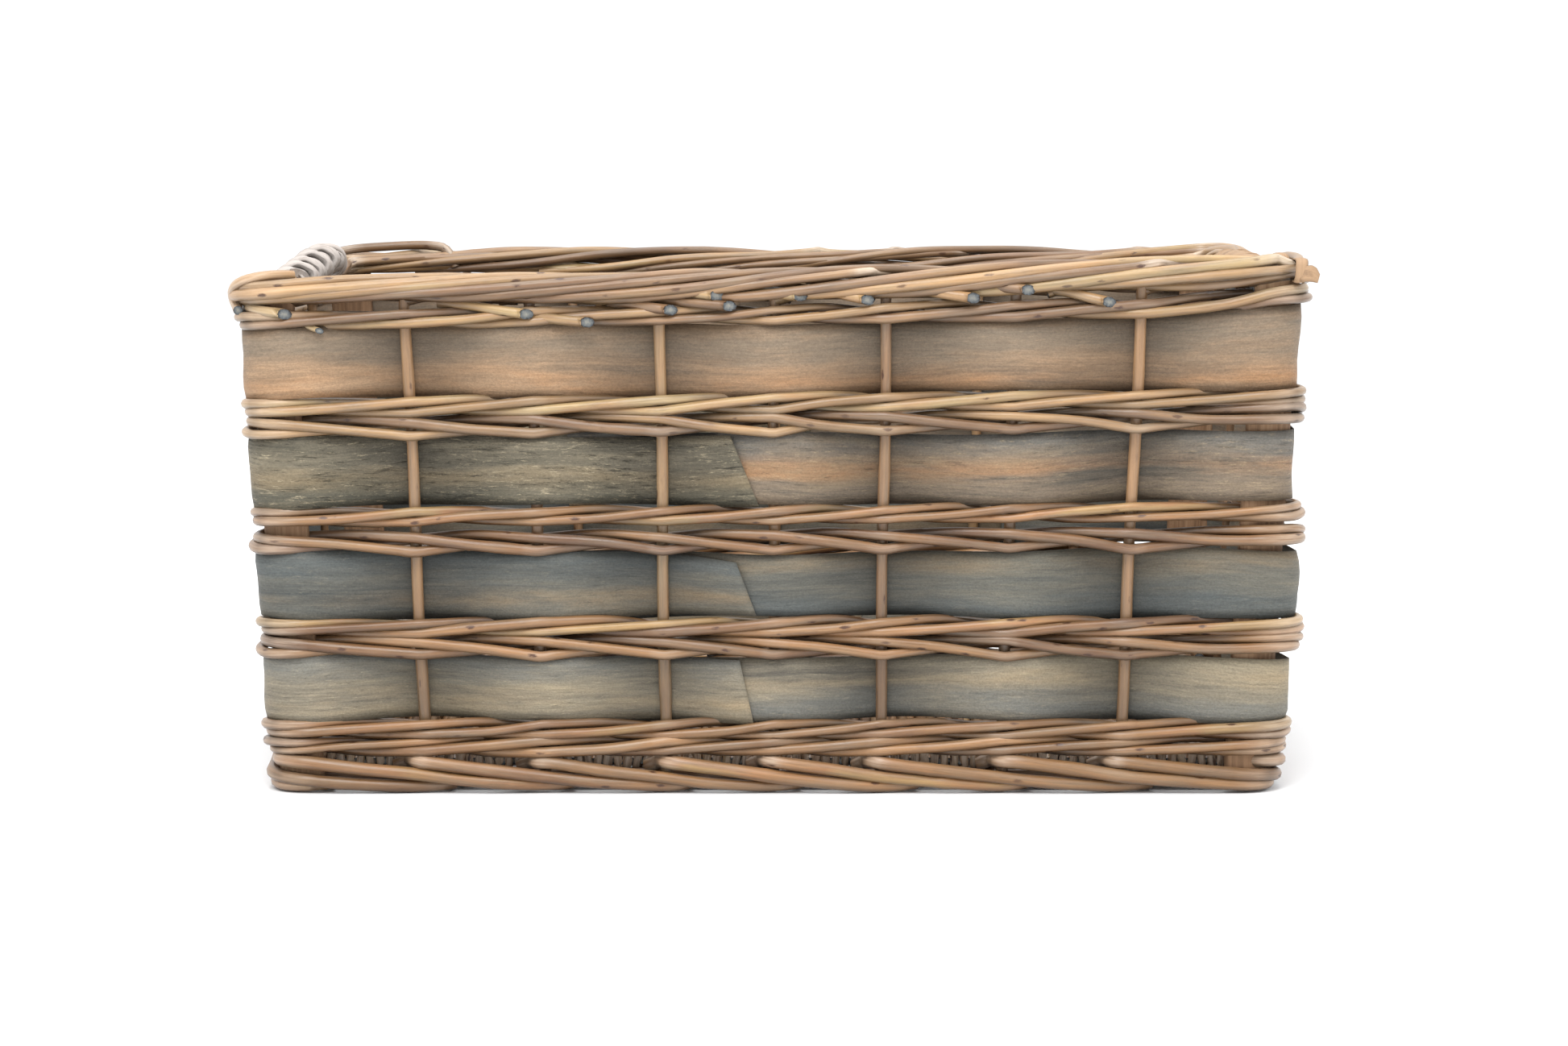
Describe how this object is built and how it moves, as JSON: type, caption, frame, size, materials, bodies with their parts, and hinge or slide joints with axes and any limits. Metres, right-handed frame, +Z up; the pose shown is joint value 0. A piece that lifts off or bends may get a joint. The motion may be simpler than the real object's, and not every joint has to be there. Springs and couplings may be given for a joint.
{
  "type": "log basket",
  "caption": "Rectangular open log basket of willow rods and split-wood bands woven round stakes, with a rolled border, a wrapped grip at each short end and a rod foot.",
  "frame": {"origin": "centre of the footprint, on the floor plane", "axes": "+Z up, X along the basket's length with a grip at each end, front long side faces -Y"},
  "size_m": [0.5408, 0.3978, 0.2684],
  "materials": {
    "border_willow": "peeled and buff-dyed willow rods, satin, with fine lengthwise streaks and dark knots",
    "weaving_willow": "warm tan willow rods, satin, each rod its own shade",
    "stake_willow": "straight willow rods, satin brown",
    "foot_willow": "thick willow rods, pinkish brown, satin",
    "base_willow": "willow sticks and weavers, darker brown, matte",
    "corner_slat": "split wood slat with its grain upright, matte brown",
    "split_wood_1": "split wood band, warm orange-brown with grey edges, matte",
    "split_wood_2": "split wood band, rough dark olive grey and grey-brown, matte",
    "split_wood_3": "split wood band, slate grey-green with a tan tint, matte",
    "split_wood_4": "split wood band, grey-green with yellowish grain, matte",
    "pale_skein": "flat bleached willow skein, pale grey-white, matte",
    "tan_skein": "flat tan willow skein, matte"
  },
  "bodies": {
    "root": {"base_stick_1": "base_willow", "base_stick_2": "base_willow", "base_stick_3": "base_willow", "base_stick_4": "base_willow", "base_stick_5": "base_willow", "base_stick_6": "base_willow", "base_stick_7": "base_willow", "base_weave": "base_willow", "border_back": "border_willow", "border_front": "border_willow", "chip_band_1": "split_wood_1", "chip_band_2": "split_wood_2", "chip_band_3": "split_wood_3", "chip_band_4": "split_wood_4", "corner_post_back_left": "corner_slat", "corner_post_back_right": "corner_slat", "corner_post_front_left": "corner_slat", "corner_post_front_right": "corner_slat", "foot_border": "foot_willow", "handle_binding_left": "pale_skein", "handle_binding_right": "tan_skein", "handle_core_left": "border_willow", "handle_core_right": "border_willow", "stake_back_1": "stake_willow", "stake_back_2": "stake_willow", "stake_back_3": "stake_willow", "stake_back_4": "stake_willow", "stake_back_5": "stake_willow", "stake_back_6": "stake_willow", "stake_back_7": "stake_willow", "stake_front_1": "stake_willow", "stake_front_2": "stake_willow", "stake_front_3": "stake_willow", "stake_front_4": "stake_willow", "stake_front_5": "stake_willow", "stake_front_6": "stake_willow", "stake_front_7": "stake_willow", "stake_left_1": "stake_willow", "stake_left_2": "stake_willow", "stake_left_3": "stake_willow", "stake_left_4": "stake_willow", "stake_left_5": "stake_willow", "stake_right_1": "stake_willow", "stake_right_2": "stake_willow", "stake_right_3": "stake_willow", "stake_right_4": "stake_willow", "stake_right_5": "stake_willow", "wale_1_lower": "weaving_willow", "wale_1_upper": "weaving_willow", "wale_2_lower": "weaving_willow", "wale_2_upper": "weaving_willow", "wale_3_lower": "weaving_willow", "wale_3_upper": "weaving_willow", "wale_foot_lower": "weaving_willow", "wale_foot_upper": "weaving_willow", "wale_under_border": "weaving_willow"}
  },
  "joints": []
}
